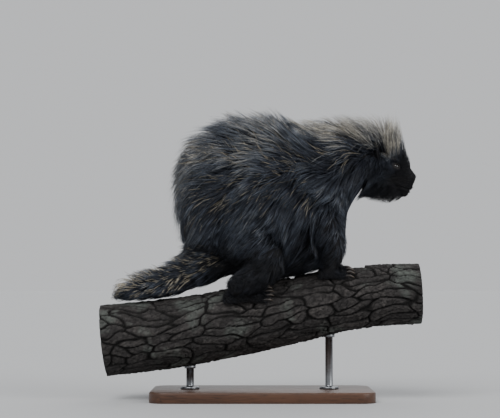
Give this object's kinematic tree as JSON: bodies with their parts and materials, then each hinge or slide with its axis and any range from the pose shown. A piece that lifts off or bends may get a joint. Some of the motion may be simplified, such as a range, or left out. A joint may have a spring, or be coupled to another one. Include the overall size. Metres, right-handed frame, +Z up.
{
  "type": "porcupine model",
  "caption": "Life-size still model of a North American porcupine sitting hunched on a cut length of limb, held by a plain display stand.",
  "frame": {"origin": "on the floor, under the middle of the stand's base", "axes": "+X towards the head, +Y to the animal's left side, +Z up"},
  "size_m": [0.6712, 0.2943, 0.6044],
  "materials": {
    "coat": "dark brown-black guard hair with pale grey tips",
    "quill": "ivory quills with dark tips",
    "face": "short near-black fur",
    "eye": "wet black",
    "foot": "dark pebbled skin",
    "claw": "dark horn",
    "bark": "rough grey-brown bark",
    "base_wood": "satin dark-stained wood",
    "rod_steel": "satin"
  },
  "bodies": {
    "root": {"torso": "coat", "neck": "coat", "head": "face", "ear_left": "face", "ear_right": "face", "eye_left": "eye", "eye_right": "eye", "tail": "coat", "fore_leg_left": "coat", "fore_leg_right": "coat", "hind_leg_left": "coat", "hind_leg_right": "coat", "fore_foot_left": "foot", "fore_foot_right": "foot", "hind_foot_left": "foot", "hind_foot_right": "foot", "perch_limb": "bark", "stand_base": "base_wood", "stand_rod_rear": "rod_steel", "stand_rod_front": "rod_steel"}
  },
  "joints": []
}
